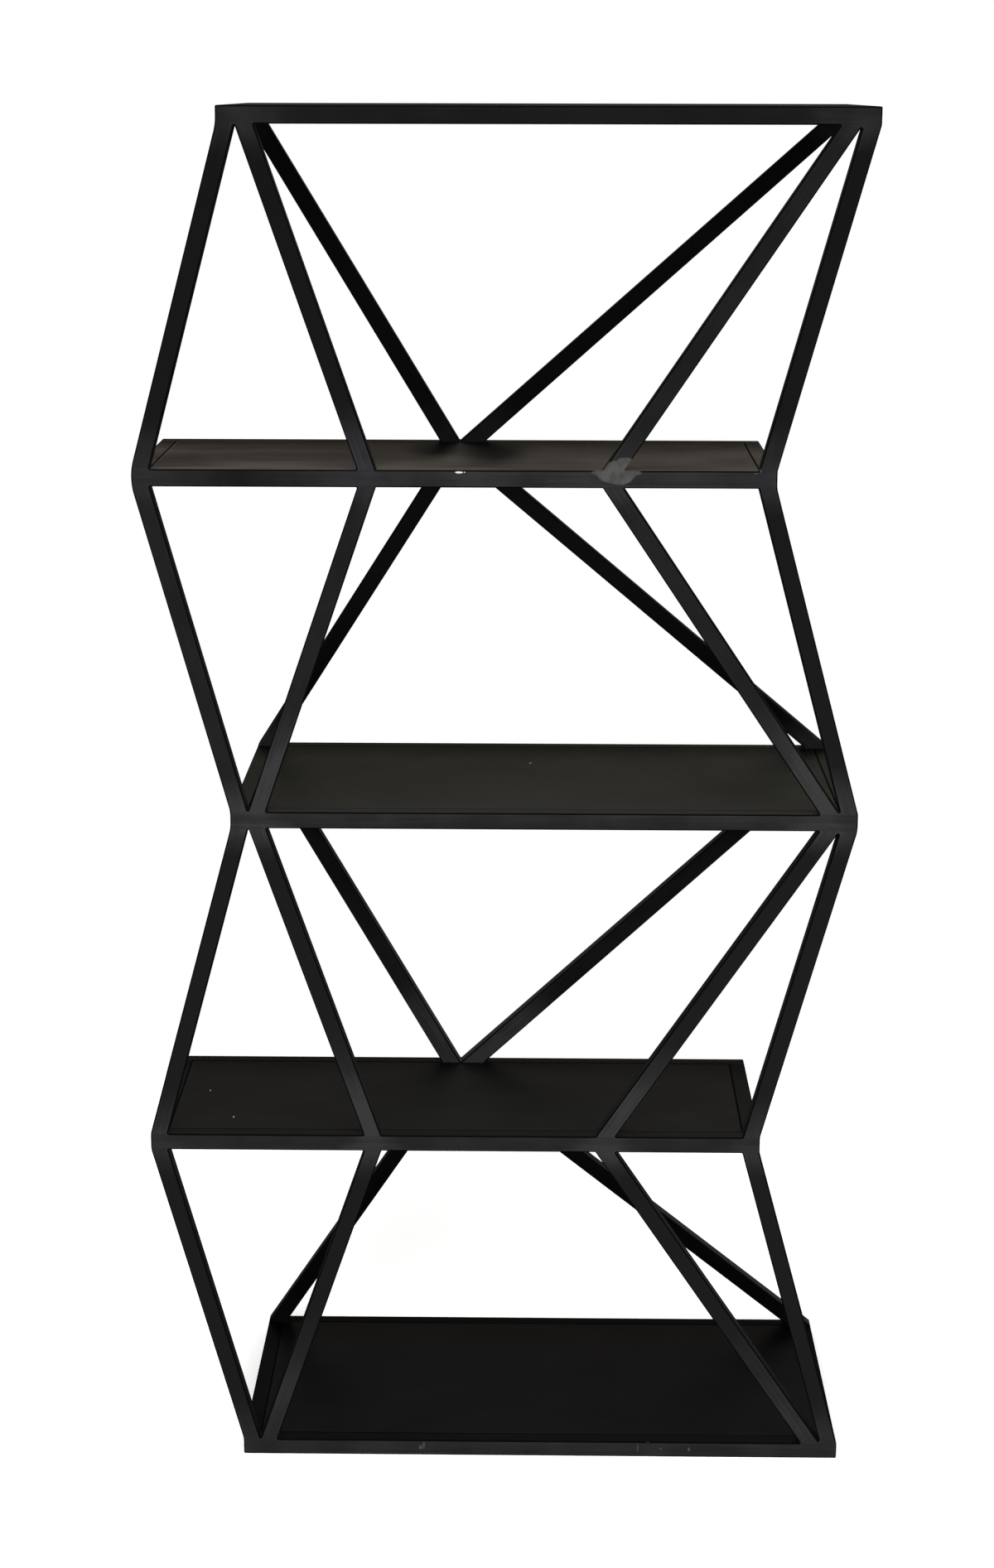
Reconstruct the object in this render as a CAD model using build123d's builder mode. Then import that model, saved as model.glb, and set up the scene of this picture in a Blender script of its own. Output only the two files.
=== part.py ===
"""Zigzag bookshelf: five steel shelves in a welded frame of square tube.

Every other shelf steps to the left and is shallower, so the outline zigzags from
the front and from the side.  Each shelf is a mitred frame of four rails with a
sheet let into it.  Four struts in front and two behind carry it to the next one.

Millimetres, +Z up, front towards -Y, origin at the middle of the footprint on the floor.
Shelves 1, 3 and 5 (counted from the floor) are deep and stand to the right.
Shelves 2 and 4 are shallow and stand to the left.
"""

import os

from build123d import *

os.makedirs("parts", exist_ok=True)

# ---------------------------------------------------------------- driving dimensions

tube = 25.4  # square tube, outside
tube_wall = 1.6
tube_corner = 2.0  # outside radius along the tube's edges
bore_corner = 0.4  # inside radius along the tube's edges

shelf_count = 5
shelf_pitch = 508.0  # from the top of one shelf to the top of the next

frame_width = 928.0  # every shelf frame, left to right
side_step = 132.0  # how far a shallow shelf stands to the left of a deep one
deep_frame_depth = 452.0
shallow_frame_depth = 354.0

left_spread = 325.0  # left end of a shallow shelf to its inner left strut
right_spread = 219.5  # right end of a shallow shelf to its inner right strut

sheet_thickness = 2.5
sheet_recess = 0.4  # top of the sheet below the top of its rails
sheet_clearance = 0.2  # between the edge of the sheet and the rails all round

# ---------------------------------------------------------------- derived places

overall_width = frame_width + side_step
width_rounds = 8  # a back strut's width and lean follow each other, and settle in these
front_y = -max(deep_frame_depth, shallow_frame_depth) / 2
clear_rise = shelf_pitch - tube  # height of a bay between two frames


def is_deep(shelf):
    """Shelves 1, 3 and 5 are the deep ones."""
    return shelf % 2 == 1


def left_x(shelf):
    """Left end of a shelf frame."""
    return -overall_width / 2 + (side_step if is_deep(shelf) else 0)


def right_x(shelf):
    """Right end of a shelf frame."""
    return left_x(shelf) + frame_width


def back_y(shelf):
    """Back face of a shelf frame."""
    return front_y + (deep_frame_depth if is_deep(shelf) else shallow_frame_depth)


def top_z(shelf):
    """Top face of a shelf frame.  The lowest frame stands on the floor."""
    return tube + shelf_pitch * (shelf - 1)


# ---------------------------------------------------------------- square tube


def draw_tube_section():
    """The section of the tube, drawn in the sketch that is open."""
    RectangleRounded(tube, tube, tube_corner)
    bore = tube - 2 * tube_wall
    RectangleRounded(bore, bore, bore_corner, mode=Mode.SUBTRACT)


def mitred_rail(start, end, inward):
    """A rail from corner to corner of a frame, mitred at both ends.

    start and end are the frame's outer corners at half the rail's height, and
    inward points from the outer face of the rail to the middle of the frame.
    """
    along = (end - start).normalized()
    section = Plane(origin=start + inward * (tube / 2), x_dir=inward, z_dir=along)
    with BuildPart() as rail:
        with BuildSketch(section):
            draw_tube_section()
        extrude(amount=(end - start).length)
        split(bisect_by=Plane(origin=start, z_dir=along - inward), keep=Keep.TOP)
        split(bisect_by=Plane(origin=end, z_dir=along + inward), keep=Keep.BOTTOM)
    return rail.part


def leaning_strut(foot, head, more_cuts=()):
    """A strut between two frames, cut level at both ends.

    foot and head are the middles of its two cuts.  Two of its faces stay parallel
    to the shelves' front edges, whichever way it leans.  more_cuts holds further
    planes to cut it by, each with the side to keep.
    """
    lean = head - foot
    along = lean.normalized()
    face_normal = Vector(1, 0, 0).cross(along).normalized()
    sideways = along.cross(face_normal)
    spare = tube * lean.length / lean.Z  # enough for the slope of both cuts
    section = Plane(origin=foot - along * spare, x_dir=sideways, z_dir=along)
    with BuildPart() as strut:
        with BuildSketch(section):
            draw_tube_section()
        extrude(amount=lean.length + 2 * spare)
        split(bisect_by=Plane.XY.offset(foot.Z), keep=Keep.TOP)
        split(bisect_by=Plane.XY.offset(head.Z), keep=Keep.BOTTOM)
        for plane, side in more_cuts:
            split(bisect_by=plane, keep=side)
    return strut.part


def cut_width(side_run, back_run=0.0):
    """Width along X of the level cut through a strut that leans by these runs."""
    upright = Vector(0, back_run, clear_rise).length
    return tube * Vector(side_run, back_run, clear_rise).length / upright


def cut_depth(back_run):
    """Depth along Y of the level cut through a strut."""
    return tube * Vector(0, back_run, clear_rise).length / clear_rise


def cut_skew(side_run, back_run):
    """How far along X the front edge of the level cut lies from its back edge."""
    upright = Vector(0, back_run, clear_rise).length
    return -cut_depth(back_run) * side_run * back_run / upright**2


def finish(solid, name):
    """Name a finished piece and write it."""
    solid.label = name
    export_step(solid, f"parts/{name}.step")


# ---------------------------------------------------------------- shelf frames and sheets


def make_shelf(shelf):
    """Four mitred rails and the sheet between them."""
    left, right, back = left_x(shelf), right_x(shelf), back_y(shelf)
    middle_z = top_z(shelf) - tube / 2
    front_left = Vector(left, front_y, middle_z)
    front_right = Vector(right, front_y, middle_z)
    back_right = Vector(right, back, middle_z)
    back_left = Vector(left, back, middle_z)

    rails = {
        "front": (front_left, front_right, Vector(0, 1, 0)),
        "right": (front_right, back_right, Vector(-1, 0, 0)),
        "back": (back_right, back_left, Vector(0, -1, 0)),
        "left": (back_left, front_left, Vector(1, 0, 0)),
    }
    for side, (start, end, inward) in rails.items():
        finish(mitred_rail(start, end, inward), f"shelf_{shelf}_{side}_rail")

    border = tube + sheet_clearance
    sheet_width = frame_width - 2 * border
    sheet_depth = back - front_y - 2 * border
    sheet_centre = Vector((left + right) / 2, (front_y + back) / 2)
    sheet_plane = Plane.XY.offset(top_z(shelf) - sheet_recess)
    with BuildPart() as sheet:
        with BuildSketch(sheet_plane):
            with Locations(sheet_centre):
                Rectangle(sheet_width, sheet_depth)
        extrude(amount=-sheet_thickness)
    finish(sheet.part, f"shelf_{shelf}_sheet")


# ---------------------------------------------------------------- struts of a bay


def strut_ends(deep_end, shallow_end, deep, shallow):
    """Foot and head of a strut from the middles of its cuts, given as (x, y)."""
    if deep < shallow:
        foot = Vector(*deep_end, top_z(deep))
        head = Vector(*shallow_end, top_z(shallow) - tube)
    else:
        foot = Vector(*shallow_end, top_z(shallow))
        head = Vector(*deep_end, top_z(deep) - tube)
    return foot, head


def make_front_struts(bay, deep, shallow, side):
    """Two struts side by side at the deep shelf's end, spread apart at the shallow one."""
    hand, end_of, spread = {
        "left": (1, left_x, left_spread),
        "right": (-1, right_x, right_spread),
    }[side]
    middle_y = front_y + tube / 2
    deep_edge = end_of(deep)
    for place, shallow_edge in (
        ("outer", end_of(shallow)),
        ("inner", end_of(shallow) + hand * spread),
    ):
        width = cut_width(shallow_edge - deep_edge)
        to_middle = hand * width / 2
        ends = strut_ends(
            (deep_edge + to_middle, middle_y),
            (shallow_edge + to_middle, middle_y),
            deep,
            shallow,
        )
        finish(leaning_strut(*ends), f"bay_{bay}_front_{side}_{place}_strut")
        deep_edge += hand * width


def make_back_strut(bay, deep, shallow, side):
    """A strut from the deep shelf's back corner to the middle of the shallow shelf's back.

    It meets its neighbour on the upright plane through that middle.
    """
    hand, end_of, kept = {
        "left": (1, left_x, Keep.BOTTOM),
        "right": (-1, right_x, Keep.TOP),
    }[side]
    meeting_x = (left_x(shallow) + right_x(shallow)) / 2
    back_run = back_y(shallow) - back_y(deep)
    reach = meeting_x - end_of(deep)
    width = tube
    for _ in range(width_rounds):
        side_run = reach - hand * width
        width = cut_width(side_run, back_run)
    to_middle = hand * width / 2 + cut_skew(side_run, back_run) / 2
    to_middle_y = -cut_depth(back_run) / 2
    ends = strut_ends(
        (end_of(deep) + to_middle, back_y(deep) + to_middle_y),
        (end_of(deep) + side_run + to_middle, back_y(shallow) + to_middle_y),
        deep,
        shallow,
    )
    meeting = (Plane.YZ.offset(meeting_x), kept)
    finish(leaning_strut(*ends, [meeting]), f"bay_{bay}_back_{side}_strut")


def make_bay(bay):
    """Four front struts and two back struts between this shelf and the next one up."""
    deep, shallow = (bay, bay + 1) if is_deep(bay) else (bay + 1, bay)
    for side in ("left", "right"):
        make_front_struts(bay, deep, shallow, side)
        make_back_strut(bay, deep, shallow, side)


for shelf in range(1, shelf_count + 1):
    make_shelf(shelf)
for bay in range(1, shelf_count):
    make_bay(bay)
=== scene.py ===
# %% [markdown]
# # A zigzag bookshelf of blackened steel
#
# The bookshelf is a welded frame of square tube with sheet steel shelves let into it.
# Every other shelf steps to the left and is shallower, so the outline zigzags.
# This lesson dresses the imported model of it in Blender: first the picture's camera and
# studio, then the finishes, then the welded frame itself, and last the shelves.
# Everything is in metres, with the front towards -Y and the floor at Z = 0.

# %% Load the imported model
import math

import bmesh
import bpy
from mathutils import Matrix, Vector
from mathutils.kdtree import KDTree


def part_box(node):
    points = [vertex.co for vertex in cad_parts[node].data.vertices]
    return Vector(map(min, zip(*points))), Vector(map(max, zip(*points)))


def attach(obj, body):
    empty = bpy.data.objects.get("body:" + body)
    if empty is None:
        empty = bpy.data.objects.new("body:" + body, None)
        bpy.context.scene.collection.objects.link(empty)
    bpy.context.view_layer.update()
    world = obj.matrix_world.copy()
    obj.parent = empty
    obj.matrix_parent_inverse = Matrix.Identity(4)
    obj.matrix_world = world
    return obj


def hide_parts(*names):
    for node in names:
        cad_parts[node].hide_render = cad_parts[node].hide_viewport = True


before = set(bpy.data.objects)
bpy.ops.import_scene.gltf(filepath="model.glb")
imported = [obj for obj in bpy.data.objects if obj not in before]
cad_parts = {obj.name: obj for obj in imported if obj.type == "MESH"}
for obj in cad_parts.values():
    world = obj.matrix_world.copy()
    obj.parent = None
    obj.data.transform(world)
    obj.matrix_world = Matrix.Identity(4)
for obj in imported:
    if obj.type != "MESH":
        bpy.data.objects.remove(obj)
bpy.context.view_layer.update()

print("pieces in the packed model:", len(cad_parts))

# %% [markdown]
# ## Sizes that everything else uses
#
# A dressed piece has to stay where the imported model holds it.  So no size of the frame
# is typed in again here: each is read from the box of a piece.  The height of a rail
# is the width of the tube, and the number of sheets is the number of shelves.

# %% Read the sizes
def rail_box(shelf, side="front"):
    """The lowest and the highest corner of a rail."""
    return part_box(f"shelf_{shelf}_{side}_rail")


rail_low, rail_high = rail_box(1)
tube = rail_high.z - rail_low.z
shelf_count = sum(name.endswith("_sheet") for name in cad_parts)
shelves = range(1, shelf_count + 1)
front_y = rail_low.y
print(f"tube {tube * 1000:.1f} mm, {shelf_count} shelves, front faces at y = {front_y:.3f} m")

# %% [markdown]
# ## The camera
#
# A tall thing is best drawn from a few metres away with a long lens, so that its
# uprights stay almost parallel.  The camera stands a little higher than the top shelf,
# so every shelf shows more of its top than the one above.  The three angles are the
# tilt, the turn and the very small lean that a camera on a tripod always has.

# %% Place the camera
camera_place = Vector((0.0486, -4.2092, 2.0868))
tilt_down = math.radians(14.103)
turn_left = math.radians(0.743)
lean = math.radians(0.121)
lens_mm = 64.0
sensor_long_side_mm = 36.0

camera = bpy.data.objects.new("camera", bpy.data.cameras.new("camera"))
bpy.context.scene.collection.objects.link(camera)
camera.data.lens = lens_mm
camera.data.sensor_width = sensor_long_side_mm
camera.data.clip_end = 200.0
look = Matrix.Rotation(turn_left, 4, "Z") @ Matrix.Rotation(math.pi / 2 - tilt_down, 4, "X")
camera.matrix_world = Matrix.Translation(camera_place) @ look @ Matrix.Rotation(lean, 4, "Z")
bpy.context.scene.camera = camera
print("camera looks along", [round(v, 3) for v in camera.matrix_world.to_3x3() @ Vector((0, 0, -1))])

# %% [markdown]
# ## The studio
#
# Black satin steel has almost no colour of its own.  What is seen on it is a faint
# mirror image of the room: a face looks charcoal where it mirrors pale paper, and
# black where it mirrors something dark.  So the room matters more than the lamps.
#
# A photographer lays pale paper on the floor, keeps the room above it dim, and hangs
# a black flag straight behind the thing, out of the picture, so that the sides of
# every tube go black and draw its outline.  The world shader below does the same with
# the direction of a ray.  Rays from the camera see plain white, and rays that bounced
# off the steel see the white paper too, wherever they point at it.

# %% Helpers for shader trees
def add_node(tree, kind, inputs=None, **settings):
    """A new shader node with its settings, and numbers or links for its inputs."""
    node = tree.nodes.new(kind)
    for key, value in settings.items():
        setattr(node, key, value)
    for key, value in (inputs or {}).items():
        if isinstance(value, bpy.types.NodeSocket):
            tree.links.new(value, node.inputs[key])
        else:
            node.inputs[key].default_value = value
    return node


def maths(tree, operation, first, second=0.0, clamp=False):
    """One step of arithmetic on shader values."""
    inputs = {0: first, 1: second}
    return add_node(tree, "ShaderNodeMath", inputs, operation=operation, use_clamp=clamp).outputs[0]


def plus(tree, first, second):
    """The sum of two shader values."""
    return maths(tree, "ADD", first, second)


def times(tree, first, second):
    """The product of two shader values."""
    return maths(tree, "MULTIPLY", first, second)


def vector_maths(tree, operation, first, second):
    """One step of arithmetic on vectors or colours."""
    return add_node(tree, "ShaderNodeVectorMath", {0: first, 1: second}, operation=operation).outputs[0]


def smooth_range(tree, value, start, end, low=0.0, high=1.0):
    """A value that goes smoothly from low at start to high at end."""
    node = add_node(
        tree,
        "ShaderNodeMapRange",
        {"Value": value, "From Min": start, "From Max": end, "To Min": low, "To Max": high},
        interpolation_type="SMOOTHSTEP",
    )
    return node.outputs["Result"]


def mix_colours(tree, share, first, second):
    """The first colour where share is 0 and the second where it is 1."""
    node = add_node(tree, "ShaderNodeMix", {"Factor": share, 6: first, 7: second}, data_type="RGBA")
    return node.outputs[2]


def new_material(name):
    """An empty material and its node tree."""
    material = bpy.data.materials.new(name)
    material.use_nodes = True
    material.node_tree.nodes.clear()
    return material, material.node_tree


# %% The world
paper_white = (1.0, 1.0, 1.0, 1.0)
dim_room = (0.078, 0.071, 0.062, 1.0)
warm_horizon = (0.100, 0.074, 0.070, 1.0)
flag_black = (0.004, 0.004, 0.004, 1.0)
flag_half_width = 0.45  # of the flag straight behind, as a share of the way to the side
flag_fade = 0.15  # how far its two sides fade
front_from, front_to = 0.1, -0.1  # where behind turns into in front
paper_from, paper_to = 0.02, -0.03  # where the horizon turns into paper
room_from, room_to = 0.03, 0.11  # where the horizon turns into the dim room
soft_light = (0.35, 0.35, 0.35, 1.0)  # how strongly the whole room lights the steel

world = bpy.data.worlds.new("studio")
bpy.context.scene.world = world
world.use_nodes = True
tree = world.node_tree
tree.nodes.clear()
ray = add_node(tree, "ShaderNodeLightPath").outputs
way = add_node(tree, "ShaderNodeTexCoord").outputs["Generated"]
xyz = add_node(tree, "ShaderNodeSeparateXYZ", {0: way}).outputs
below_horizon = smooth_range(tree, xyz["Z"], paper_from, paper_to)
sideways = maths(tree, "ABSOLUTE", xyz["X"])
beside = smooth_range(tree, sideways, flag_half_width, flag_half_width + flag_fade)
in_front = smooth_range(tree, xyz["Y"], front_from, front_to)
not_behind = maths(tree, "MAXIMUM", beside, in_front)
mirrored = maths(tree, "ADD", ray["Is Glossy Ray"], ray["Is Transmission Ray"], clamp=True)
paper_mirrored = times(tree, mirrored, times(tree, below_horizon, not_behind))
sees_white = maths(tree, "MAXIMUM", ray["Is Camera Ray"], paper_mirrored)
on_the_flag = times(tree, below_horizon, maths(tree, "SUBTRACT", 1.0, not_behind))
well_above = smooth_range(tree, xyz["Z"], room_from, room_to)
room = mix_colours(tree, well_above, warm_horizon, dim_room)
room = mix_colours(tree, on_the_flag, room, flag_black)
lit_room = mix_colours(tree, ray["Is Diffuse Ray"], room, soft_light)
seen = mix_colours(tree, sees_white, lit_room, paper_white)
background = add_node(tree, "ShaderNodeBackground", {"Color": seen, "Strength": 1.0})
add_node(tree, "ShaderNodeOutputWorld", {"Surface": background.outputs[0]})
bpy.context.scene.view_settings.view_transform = "Standard"
print("nodes in the world's tree:", len(tree.nodes))

# %% The floor
paper_left, paper_right = -1.9, 1.9
paper_near, paper_far = -5.0, 1.5
paper_colour = (0.80, 0.80, 0.79, 1.0)
paper_glow = 0.45  # what the camera adds, so that the paper meets the white room


def as_object(name, form):
    """Turn a bmesh into an object of the scene."""
    mesh = bpy.data.meshes.new(name)
    form.to_mesh(mesh)
    form.free()
    made = bpy.data.objects.new(name, mesh)
    bpy.context.scene.collection.objects.link(made)
    return made


def lay_flat(name, near, height, material):
    """A flat piece of the studio, as wide as the paper and up to its far end."""
    form = bmesh.new()
    near_edge = [(paper_left, near), (paper_right, near)]
    far_edge = [(paper_right, paper_far), (paper_left, paper_far)]
    form.faces.new([form.verts.new((x, y, height)) for x, y in near_edge + far_edge])
    laid = as_object(name, form)
    laid.data.materials.append(material)
    return laid


paper, tree = new_material("pale_paper")
ray = add_node(tree, "ShaderNodeLightPath").outputs
mirrored = plus(tree, ray["Is Glossy Ray"], ray["Is Transmission Ray"])
seen_directly = maths(tree, "ADD", ray["Is Camera Ray"], mirrored, clamp=True)
glow = times(tree, seen_directly, paper_glow)
matt = add_node(tree, "ShaderNodeBsdfDiffuse", {"Color": paper_colour, "Roughness": 0.8})
shine = add_node(tree, "ShaderNodeEmission", {"Color": paper_white, "Strength": glow})
both = add_node(tree, "ShaderNodeAddShader", {0: matt.outputs[0], 1: shine.outputs[0]})
add_node(tree, "ShaderNodeOutputMaterial", {"Surface": both.outputs[0]})
floor = lay_flat("floor", paper_near, 0.0, paper)
print("the paper is", [round(v, 2) for v in floor.dimensions], "m")

# %% [markdown]
# The lamps give the steel its little bit of plain colour.  They are kept out of its
# mirror image, because a soft box would show there as a bright bar.  The one behind
# keeps the back of the bookshelf from going formless.

# %% The lamps
lamps = {
    # name: (place, aimed at, width, height, watts)
    "front_softbox": ((-1.2, -4.6, 2.9), (0.0, 0.0, 1.0), 2.6, 2.0, 150.0),
    "side_softbox": ((2.6, -3.2, 2.3), (0.0, 0.0, 1.0), 1.6, 1.6, 55.0),
    "top_softbox": ((0.0, -0.6, 4.6), (0.0, 0.0, 1.0), 2.4, 2.4, 60.0),
    "back_softbox": ((1.0, 4.4, 2.6), (0.0, 0.0, 1.0), 2.4, 2.0, 110.0),
}
for name, (place, aim, wide, high, watts) in lamps.items():
    light = bpy.data.lights.new(name, "AREA")
    light.shape = "RECTANGLE"
    light.size, light.size_y = wide, high
    light.energy = watts
    lamp = bpy.data.objects.new(name, light)
    bpy.context.scene.collection.objects.link(lamp)
    lamp.location = place
    lamp.rotation_euler = (Vector(aim) - Vector(place)).to_track_quat("-Z", "Y").to_euler()
    lamp.visible_glossy = False
print("lamps:", ", ".join(lamps))

# %% [markdown]
# The flag hangs down to the floor and lies on the paper under and behind the bookshelf.
# There it is a real piece of black cloth, but one that only the steel can see: the
# camera and the plain light pass through it.

# %% The foot of the black flag
flag_foot_near = front_y + tube
cloth_height = 0.0005

cloth, tree = new_material("black_cloth")
matt = add_node(tree, "ShaderNodeBsdfDiffuse", {"Color": flag_black})
add_node(tree, "ShaderNodeOutputMaterial", {"Surface": matt.outputs[0]})
flag_foot = lay_flat("flag_foot", flag_foot_near, cloth_height, cloth)
flag_foot.visible_camera = False
flag_foot.visible_diffuse = False
flag_foot.visible_shadow = False
print(f"the flag's foot starts at y = {flag_foot_near:.3f} m")

# %% [markdown]
# ## The welded frame, one level at a time
#
# On the real thing the tubes are cut, welded and then ground until no joint can be
# seen: the front face of a strut runs straight on into the face of its rail, and the
# rounded edge of the one turns the corner into the rounded edge of the other.
#
# Rounding each tube by itself would leave a little pit wherever two rounded edges
# meet.  So each level is built the way a grinder leaves it.  First the sharp shapes
# are united into one body: a front plate with the stubs of its struts, a back plate,
# and the two side rails.  Then every outside edge of that body is rounded at once.
# Only at the end is it sawn at the weld lines, back into the separate tubes.
# The rounded faces are put on a second material, because they lose their wax.

# %% Measure where the struts stand
edge_round = 0.002  # of every outside edge of the tube
weld_round = 0.0016  # of the weld in an inside corner
narrow_round = 0.0010  # of the weld in the narrow gap between two struts
narrow_turn = math.radians(120)  # corners that turn by more than this are narrow gaps
same_place = 1e-5  # points closer than this are one


def cut_edges(strut, at_top):
    """Left and right edge of a strut's level cut, at its foot or at its top."""
    low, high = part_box(strut)
    height = high.z if at_top else low.z
    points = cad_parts[strut].data.vertices
    level = [point.co.x for point in points if abs(point.co.z - height) < same_place]
    return min(level), max(level)


def level_width(run, rise):
    """How wide a tube is along its level cut, when it must fit between two ends that
    are run apart with its own width taken off."""
    steep = rise**2 - tube**2
    root = math.sqrt((tube * run) ** 2 + steep * (run**2 + rise**2))
    return (-run * tube**2 + tube * root) / steep


def stub(strut, here, there, weld_z, far_z):
    """Half a strut, from its weld to the middle of its bay."""
    return {
        "strut": strut,
        "up": far_z > weld_z,
        "weld": here,
        "middle": [(a + b) / 2 for a, b in zip(here, there)],
        "weld_z": weld_z,
        "middle_z": (weld_z + far_z) / 2,
    }


def stubs_at(shelf, place):
    """The stubs of all struts on the front or back plate of a shelf frame."""
    low, high = rail_box(shelf)
    found = []
    for bay, other in ((shelf, shelf + 1), (shelf - 1, shelf - 1)):
        if not 1 <= bay < shelf_count:
            continue
        up = other > shelf
        other_low, other_high = rail_box(other)
        weld_z, far_z = (high.z, other_low.z) if up else (low.z, other_high.z)
        if place == "front":
            for strut in ("left_outer", "left_inner", "right_inner", "right_outer"):
                name = f"bay_{bay}_front_{strut}_strut"
                ends = (cut_edges(name, not up), cut_edges(name, up))
                found.append(stub(name, *ends, weld_z, far_z))
            continue
        deep, shallow = (shelf, other) if shelf % 2 else (other, shelf)
        deep_low, deep_high = rail_box(deep)
        shallow_low, shallow_high = rail_box(shallow)
        middle = (shallow_low.x + shallow_high.x) / 2
        for side, corner in (("left", deep_low.x), ("right", deep_high.x)):
            inward = math.copysign(1, middle - corner)
            width = level_width(abs(middle - corner), abs(far_z - weld_z))
            at_corner = sorted((corner, corner + inward * width))
            at_middle = sorted((middle, middle - inward * width))
            ends = (at_corner, at_middle) if deep == shelf else (at_middle, at_corner)
            found.append(stub(f"bay_{bay}_back_{side}_strut", *ends, weld_z, far_z))
    return sorted(found, key=lambda half: half["weld"][0])


for half in stubs_at(2, "front"):
    print(half["strut"], [round(v * 1000, 1) for v in half["weld"]], "mm")

# %% [markdown]
# The outline of a plate is walked once round, counter-clockwise: along the underside
# of the rail and down and up each stub that hangs from it, up the right end, back
# along the top, and down the left end.  An arc takes the place of every inside corner.
# Between two struts that start side by side it fills the first few millimetres of
# the narrow gap, just as a real weld does.

# %% Draw the outline of a plate
arc_step = math.radians(18)  # the turn of one straight piece of an arc
slight_turn = math.radians(30)  # corners below this are a lean, not an inside corner


def stub_corners(half):
    """The corners of a stub, from the left end of its weld to the right one."""
    (left, right), (far_left, far_right) = half["weld"], half["middle"]
    weld_z, middle_z = half["weld_z"], half["middle_z"]
    return [(left, weld_z), (far_left, middle_z), (far_right, middle_z), (right, weld_z)]


def plate_corners(shelf, place):
    """Corner points of a rail with its stubs, counter-clockwise, as (x, z)."""
    low, high = rail_box(shelf)
    below, above = [], []
    for half in stubs_at(shelf, place):
        (above if half["up"] else below).extend(stub_corners(half))
    corners = [(low.x, low.z), *below, (high.x, low.z)]
    corners += [(high.x, high.z), *reversed(above), (low.x, high.z)]
    points = [Vector(corner) for corner in corners]
    return [p for i, p in enumerate(points) if (p - points[i - 1]).length > same_place]


def fill_inside_corners(corners):
    """The outline with an arc of weld in each of its inside corners."""
    outline = []
    for i, corner in enumerate(corners):
        before, after = corners[i - 1], corners[(i + 1) % len(corners)]
        back, on = (before - corner).normalized(), (after - corner).normalized()
        turn = math.pi - back.angle(on)
        if back.cross(on) < 0 or turn < slight_turn:
            outline.append(corner)
            continue
        radius = narrow_round if turn > narrow_turn else weld_round
        half_gap = (math.pi - turn) / 2
        centre = corner + (back + on).normalized() * radius / math.sin(half_gap)
        spoke = corner + back * radius / math.tan(half_gap) - centre
        steps = math.ceil(turn / arc_step)
        for step in range(steps + 1):
            outline.append(centre + Matrix.Rotation(-turn * step / steps, 2) @ spoke)
    return outline


print("points round the front of shelf 3:", len(fill_inside_corners(plate_corners(3, "front"))))

# %% [markdown]
# The finish will need to know how each part of the steel is painted, so the level gets
# three marks while its faces are still easy to tell apart.  The first is 1 in the middle
# of the faces that look out of the frame, in front and behind, and much less on the
# sides and on the faces that look in: painted light and shade by the way a face looks,
# which also decides how much of the grey of the rubbed steel shows.  A band along the
# edge of a face is painted lighter, a painted highlight, and the rounding and a hairline
# next to it stay at 0, a painted dark outline.  A face has no points in its middle, so
# Inset first lays two rings of points inside its edge.  "waxed" is 1 on the tops of the
# rails, which were finished together with the sheets.  The third mark is 1 on the sides
# of the leaning struts that look up, where a painted highlight from above goes.

# %% Mark the painted light and shade, the wax and the rubbing
dark_outline_until = 0.0004  # width of the painted dark outline, from the edge of a face
edge_band = 0.0020  # how wide the painted highlight along the edge of a face is
shade_facing_in = 0.25  # painted shade: how much of the grey shows on a face that looks into the frame
edge_band_highlight = 1.30  # painted highlight: the band along the edge of a face, as a share of its middle
shade_on_the_sides = 0.15  # painted shade: the share on the sides of the tubes
plate_facing = 0.999  # how squarely a face must look along an axis
looking_up = 0.15  # the least upward look of a dusty side


def mark_light_and_wear(form, rounding, top_z):
    """Store on a level's points its painted light and shade, what was waxed, and where the painted
    highlight from above goes.
    """
    middle_y = sum(point.co.y for point in form.verts) / len(form.verts)
    plates = [f for f in form.faces if abs(f.normal.y) > plate_facing and f not in rounding]
    rings = []
    for width in (dark_outline_until, edge_band):
        ring = bmesh.ops.inset_region(form, faces=plates, thickness=width, use_even_offset=True)
        rings.append(set(ring["faces"]))
    outer_ring, inner_ring = rings
    lit_and_rubbed, waxed, lit_from_above = [form.verts.layers.float.new(name) for name in ("lit_and_rubbed", "waxed", "lit_from_above")]
    for point in form.verts:
        round_it = set(point.link_faces)
        # the sides that look up get the painted highlight from the light above
        sides = [f for f in round_it - rounding if looking_up < f.normal.z < plate_facing]
        point[lit_from_above] = 1.0 if sides else 0.0
        at_top = abs(point.co.z - top_z) < same_place
        point[waxed] = 1.0 if at_top and any(f.normal.z > plate_facing for f in round_it) else 0.0
        plates_here = [face for face in round_it if abs(face.normal.y) > plate_facing]
        looks_out = any(face.normal.y * (point.co.y - middle_y) > 0 for face in plates_here)
        full = 1.0 if looks_out else shade_facing_in
        # painted dark outline on the rounding and next to it, painted highlight in the band along the
        # edge, painted shade on the sides and on faces that look in
        if round_it <= rounding:
            point[lit_and_rubbed] = 0.0
        elif round_it & outer_ring and round_it & inner_ring:
            point[lit_and_rubbed] = edge_band_highlight * full
        elif round_it & outer_ring:
            point[lit_and_rubbed] = 0.0
        elif len(plates_here) == len(round_it):
            point[lit_and_rubbed] = full
        else:
            point[lit_and_rubbed] = shade_on_the_sides


# %% [markdown]
# A plate is its outline pushed through the depth of the tube.  The side rails reach
# from one plate to the other and only touch them, and the Boolean modifier unites all
# four bodies.  Limited Dissolve then removes the leftover edges in flat faces, because
# the bevel that follows needs each flat face whole.

# %% Build and round one level
touching = 2e-6  # points this close after the union are one
flat_enough = math.radians(0.2)  # faces that turn by less are one
edge_finish = 1  # the place of the rounded edges' material on a tube


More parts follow.
